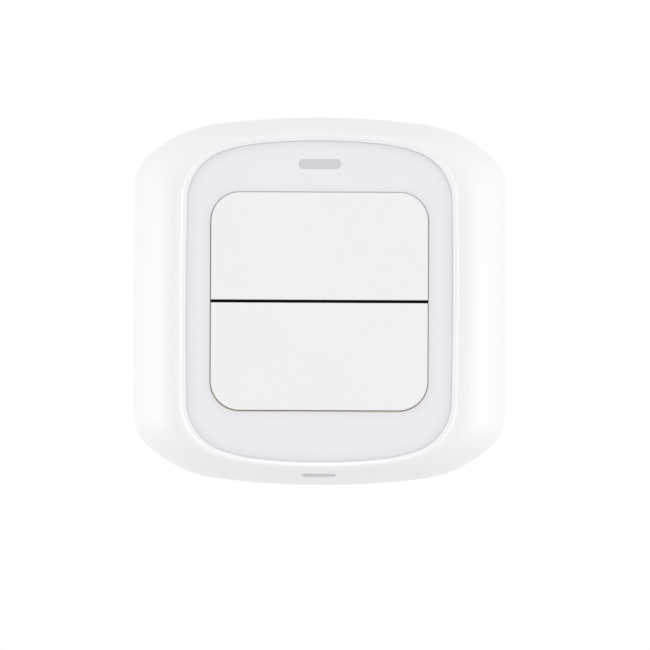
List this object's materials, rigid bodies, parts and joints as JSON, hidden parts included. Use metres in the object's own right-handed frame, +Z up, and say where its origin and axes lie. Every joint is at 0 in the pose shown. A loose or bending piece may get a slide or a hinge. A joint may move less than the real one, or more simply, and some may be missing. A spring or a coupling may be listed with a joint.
{
  "type": "button pusher robot",
  "caption": "Battery wall unit with two push keys that rocks a pair of rubber-footed arms to work the rocker switches behind it.",
  "frame": {"origin": "centre of the wall bracket's back face, between its two slots for the box screws, on the wall plane", "axes": "+X to the right seen from the front, -Y out of the wall towards the viewer, +Z up"},
  "size_m": [0.0882, 0.034, 0.087],
  "materials": {
    "shell_white": "satin moulded",
    "panel_white": "satin moulded",
    "key_white": "satin moulded",
    "lens_smoke": "diffusing, moulded",
    "cover_white": "fine texture",
    "bracket_white": "fine texture",
    "chassis_grey": "fine texture",
    "board_green": "solder mask",
    "chip_black": "moulded epoxy",
    "led_white": "moulded",
    "can_steel": "tinned",
    "port_steel": "drawn",
    "switch_black": "moulded",
    "plunger_grey": "moulded",
    "pin_steel": "ground",
    "pinion_brass": "hobbed",
    "motor_steel": "nickel plated",
    "clamp_grey": "moulded",
    "arm_nylon": "glass-filled",
    "foot_rubber": "moulded",
    "cell_wrap": "shrink sleeve",
    "magnet_nickel": "nickel plated",
    "disc_steel": "zinc plated",
    "foam_tape": "closed-cell foam",
    "screw_steel": "zinc plated"
  },
  "bodies": {
    "bracket": {"wall_bracket": "bracket_white", "adhesive_pads": "foam_tape", "strike_discs": "disc_steel"},
    "upper_key_body": {"upper_key": "key_white"},
    "upper_plunger_body": {"upper_plunger": "plunger_grey"},
    "upper_arm_body": {"upper_arm": "arm_nylon", "upper_right_foot": "foot_rubber", "upper_left_foot": "foot_rubber"},
    "upper_pinion_body": {"upper_pinion": "pinion_brass", "upper_motor_shaft": "pin_steel"},
    "lower_key_body": {"lower_key": "key_white"},
    "lower_plunger_body": {"lower_plunger": "plunger_grey"},
    "lower_arm_body": {"lower_arm": "arm_nylon", "lower_right_foot": "foot_rubber", "lower_left_foot": "foot_rubber"},
    "lower_pinion_body": {"lower_pinion": "pinion_brass", "lower_motor_shaft": "pin_steel"},
    "robot": {"outer_shell": "shell_white", "face_panel": "panel_white", "status_lens": "lens_smoke", "main_board": "board_green", "chassis": "chassis_grey", "rear_cover": "cover_white", "status_led": "led_white", "radio_module": "can_steel", "charging_port": "port_steel", "motor_driver_chip": "chip_black", "charger_chip": "chip_black", "upper_key_pins": "pin_steel", "upper_switch": "switch_black", "upper_motor": "motor_steel", "upper_motor_clamp": "clamp_grey", "upper_arm_shaft": "pin_steel", "lower_key_pins": "pin_steel", "lower_switch": "switch_black", "lower_motor": "motor_steel", "lower_motor_clamp": "clamp_grey", "lower_arm_shaft": "pin_steel", "right_battery_cell": "cell_wrap", "left_battery_cell": "cell_wrap", "magnets": "magnet_nickel", "cover_screws": "screw_steel", "chassis_screws": "screw_steel", "board_screws": "screw_steel", "clamp_screws": "screw_steel"}
  },
  "joints": [
    {"name": "pull_off", "type": "slide", "parent": "bracket", "child": "robot", "axis": [0, -1, 0], "range_m": [0, 0.04]},
    {"name": "upper_key_press", "type": "hinge", "parent": "robot", "child": "upper_key_body", "pos_m": [0, -0.02971, 0.0219], "axis": [1, 0, 0], "range_deg": [0, 0.95], "stiffness_Nm_per_rad": 0.5, "springref_deg": -1.15},
    {"name": "upper_plunger_travel", "type": "slide", "parent": "robot", "child": "upper_plunger_body", "axis": [0, 1, 0], "range_m": [0, 0.00035]},
    {"name": "upper_arm_tilt", "type": "hinge", "parent": "robot", "child": "upper_arm_body", "pos_m": [0, -0.0084, 0.013], "axis": [0, 0, 1], "range_deg": [-12, 12]},
    {"name": "upper_pinion_turn", "type": "hinge", "parent": "robot", "child": "upper_pinion_body", "pos_m": [0.01061, -0.01901, 0.013], "axis": [0, 0, 1], "range_deg": [-48, 48]},
    {"name": "lower_key_press", "type": "hinge", "parent": "robot", "child": "lower_key_body", "pos_m": [0, -0.02971, -0.0219], "axis": [-1, 0, 0], "range_deg": [0, 0.95], "stiffness_Nm_per_rad": 0.5, "springref_deg": -1.15},
    {"name": "lower_plunger_travel", "type": "slide", "parent": "robot", "child": "lower_plunger_body", "axis": [0, 1, 0], "range_m": [0, 0.00035]},
    {"name": "lower_arm_tilt", "type": "hinge", "parent": "robot", "child": "lower_arm_body", "pos_m": [0, -0.0084, -0.013], "axis": [0, 0, 1], "range_deg": [-12, 12]},
    {"name": "lower_pinion_turn", "type": "hinge", "parent": "robot", "child": "lower_pinion_body", "pos_m": [-0.01061, -0.01901, -0.013], "axis": [0, 0, 1], "range_deg": [-48, 48]}
  ],
  "couplings": [
    {"joint": "upper_plunger_travel", "follows": "upper_key_press", "m_per_rad": 0.0175},
    {"joint": "upper_pinion_turn", "follows": "upper_arm_tilt", "ratio": -4},
    {"joint": "lower_plunger_travel", "follows": "lower_key_press", "m_per_rad": 0.0175},
    {"joint": "lower_pinion_turn", "follows": "lower_arm_tilt", "ratio": -4}
  ]
}
